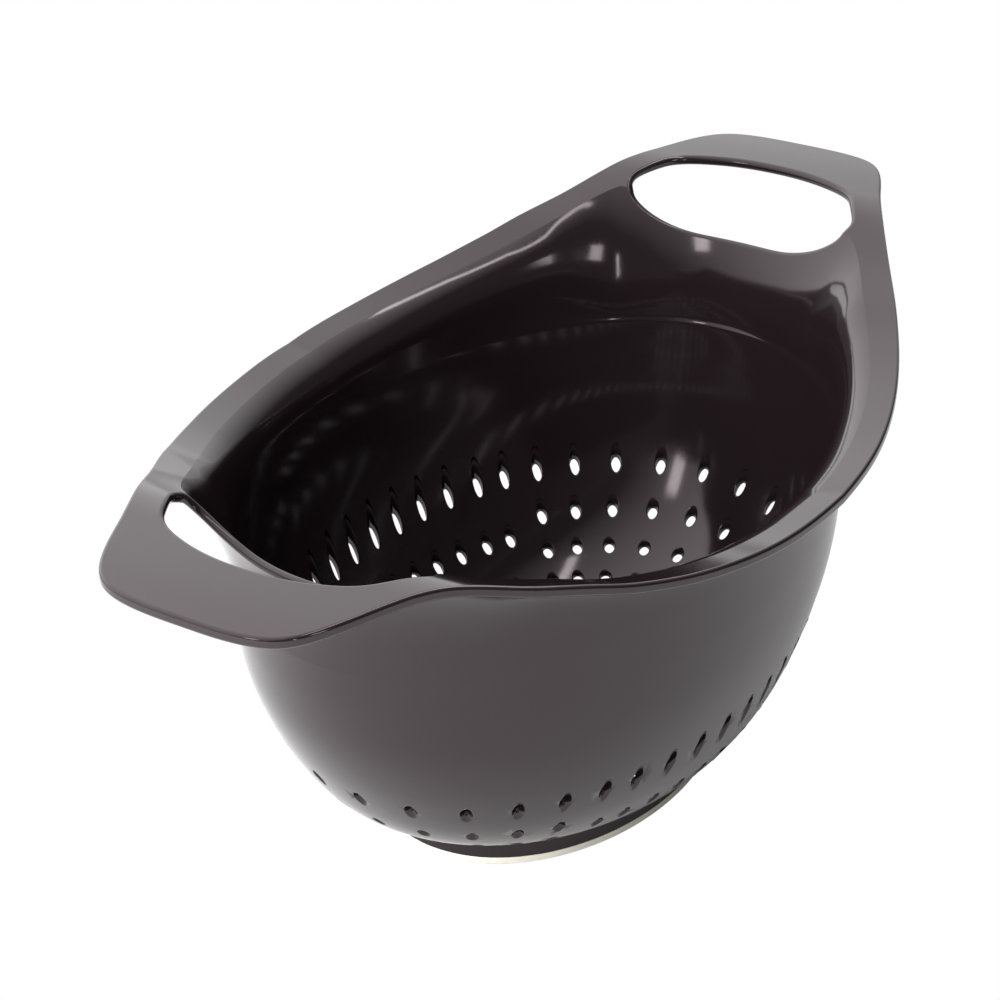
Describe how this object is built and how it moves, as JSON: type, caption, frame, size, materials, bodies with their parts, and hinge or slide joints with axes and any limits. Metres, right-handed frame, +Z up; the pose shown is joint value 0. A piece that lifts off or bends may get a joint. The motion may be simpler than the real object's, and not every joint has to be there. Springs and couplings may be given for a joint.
{
  "type": "colander",
  "caption": "Oval kitchen colander moulded in dark plastic, with a wavy flared brim that rises into a slotted handle at each end, and a soft cream ring under its foot.",
  "frame": {"origin": "centre of the foot ring where it stands on the table", "axes": "+X along the handles, the long way of the oval; +Y across the bowl; +Z up"},
  "size_m": [0.36, 0.198, 0.1497],
  "materials": {
    "bowl": "dark grey-brown moulded plastic, satin to gloss",
    "ring": "cream soft elastomer, matt"
  },
  "bodies": {
    "root": {"bowl": "bowl", "non_slip_ring": "ring"}
  },
  "joints": []
}
